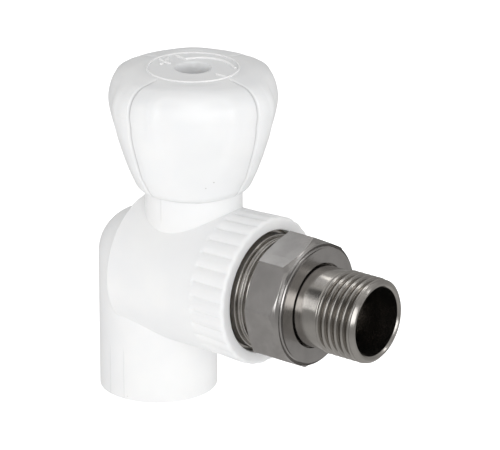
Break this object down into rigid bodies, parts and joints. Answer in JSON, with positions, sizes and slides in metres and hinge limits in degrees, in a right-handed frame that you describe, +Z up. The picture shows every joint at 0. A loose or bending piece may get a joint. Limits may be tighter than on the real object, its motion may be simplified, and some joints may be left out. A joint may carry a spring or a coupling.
{
  "type": "angle radiator valve",
  "caption": "White plastic angle valve: welded pipe socket below, lobed knob on top turning a ball, and a plated union with a male threaded tail.",
  "frame": {"origin": "centre of the pipe socket's mouth, on the valve's lowest face", "axes": "+Z up the pipe socket towards the knob, +X out along the outlet union; the XZ plane is the plane of symmetry of the body"},
  "size_m": [0.0821, 0.0448, 0.0848],
  "materials": {
    "white_plastic": "semi-gloss moulded polypropylene",
    "knob_plastic": "semi-gloss moulded plastic",
    "nickel_plate": "dark nickel plating on turned brass",
    "brass": "turned",
    "chromed_brass": "polished chrome on brass",
    "ptfe": "waxy",
    "seal_rubber": "matt black",
    "zinc_steel": "zinc plated"
  },
  "bodies": {
    "valve": {"valve_body": "white_plastic", "outlet_bush": "nickel_plate", "bush_o_ring": "seal_rubber", "union_end_piece": "nickel_plate", "rear_seat": "ptfe", "front_seat": "ptfe", "neck_insert": "brass", "gland_screw": "brass", "gland_o_ring": "seal_rubber"},
    "spindle": {"knob": "knob_plastic", "knob_screw": "zinc_steel", "knob_washer": "zinc_steel", "stop_washer": "zinc_steel", "stem": "brass", "stem_o_rings": "seal_rubber", "stem_thrust_washer": "ptfe"},
    "ball": {"ball": "chromed_brass"},
    "tail": {"tail_piece": "nickel_plate", "tail_o_ring": "seal_rubber"},
    "nut": {"union_nut": "nickel_plate"}
  },
  "joints": [
    {"name": "knob_turn", "type": "hinge", "parent": "valve", "child": "spindle", "pos_m": [0.0115, 0, 0.06], "axis": [0, 0, 1], "range_deg": [-90, 0]},
    {"name": "ball_turn", "type": "hinge", "parent": "valve", "child": "ball", "pos_m": [0.0115, 0, 0.0324], "axis": [0, 0, 1], "range_deg": [-90, 0]},
    {"name": "union_travel", "type": "slide", "parent": "valve", "child": "tail", "axis": [1, 0, 0], "range_m": [0, 0.0081]},
    {"name": "nut_turn", "type": "hinge", "parent": "tail", "child": "nut", "pos_m": [0.0445, 0, 0.0324], "axis": [1, 0, 0], "range_deg": [0, 1590]}
  ],
  "couplings": [
    {"joint": "ball_turn", "follows": "knob_turn", "ratio": 1},
    {"joint": "union_travel", "follows": "nut_turn", "m_per_rad": 0.00028871}
  ]
}
